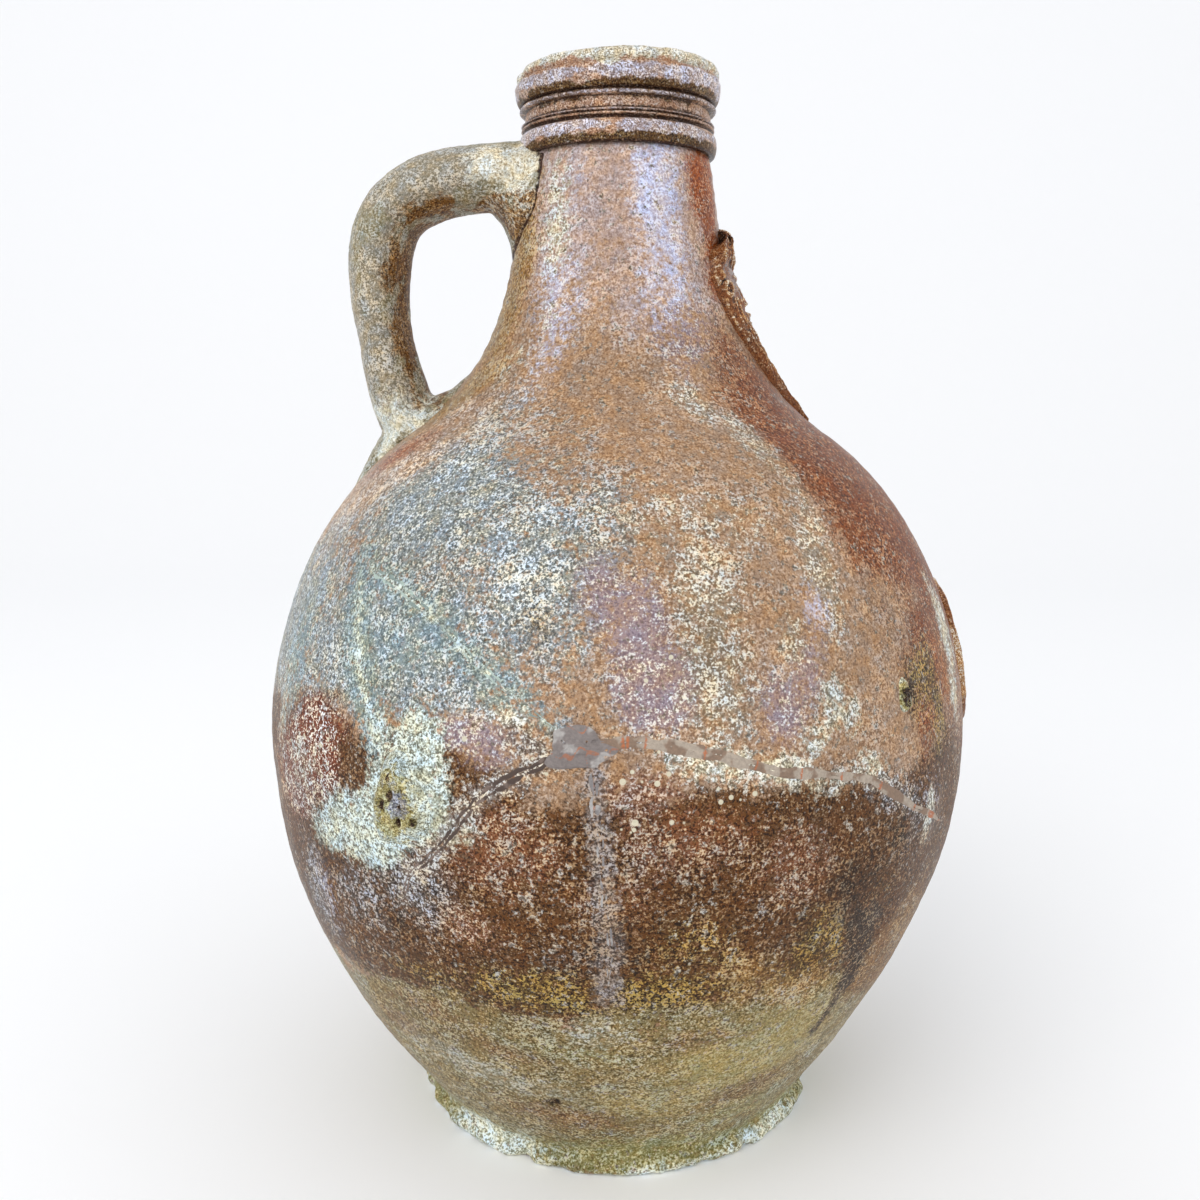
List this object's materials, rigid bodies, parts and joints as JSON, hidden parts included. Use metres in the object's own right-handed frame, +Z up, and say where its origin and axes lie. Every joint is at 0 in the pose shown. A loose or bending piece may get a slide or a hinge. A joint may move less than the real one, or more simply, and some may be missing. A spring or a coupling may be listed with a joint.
{
  "type": "stoneware jug",
  "caption": "Salt-glazed stoneware bottle jug: round belly on a splayed foot, tall neck with a moulded mouth ring, strap handle, applied bearded mask and rosette, filled cracks.",
  "frame": {"origin": "centre of the foot's flat underside, on the jug's axis", "axes": "+Z up along the jug's axis, towards the mouth; +X towards the mask; the handle stands out along -X"},
  "size_m": [0.2323, 0.23, 0.3385],
  "materials": {
    "salt_glaze_body": "mottled brown and grey salt glaze, satin, orange-peel skin",
    "salt_glaze_collar": "grey-lilac over brown salt glaze, pale rim",
    "salt_glaze_handle": "sage grey and cream salt glaze over brown",
    "salt_glaze_sprigs": "red-brown salt glaze, glossy on the high parts",
    "painted_filler": "brown overpainted filler, dull",
    "pale_filler": "pale grey-green filler, dull",
    "kiln_clay": "fused ochre kiln clay and ash, rough"
  },
  "bodies": {
    "root": {"body": "salt_glaze_body", "collar": "salt_glaze_collar", "handle": "salt_glaze_handle", "handle_upper_lute": "salt_glaze_handle", "handle_lower_lute": "salt_glaze_handle", "face_mask": "salt_glaze_sprigs", "medallion": "salt_glaze_sprigs", "crack_fill_right": "painted_filler", "crack_fill_left": "painted_filler", "crack_fill_down": "painted_filler", "crack_fill_upright": "pale_filler", "crack_fill_diagonal": "pale_filler", "crack_fill_impact": "painted_filler", "kiln_scar": "kiln_clay", "kiln_scar_small": "kiln_clay"}
  },
  "joints": []
}
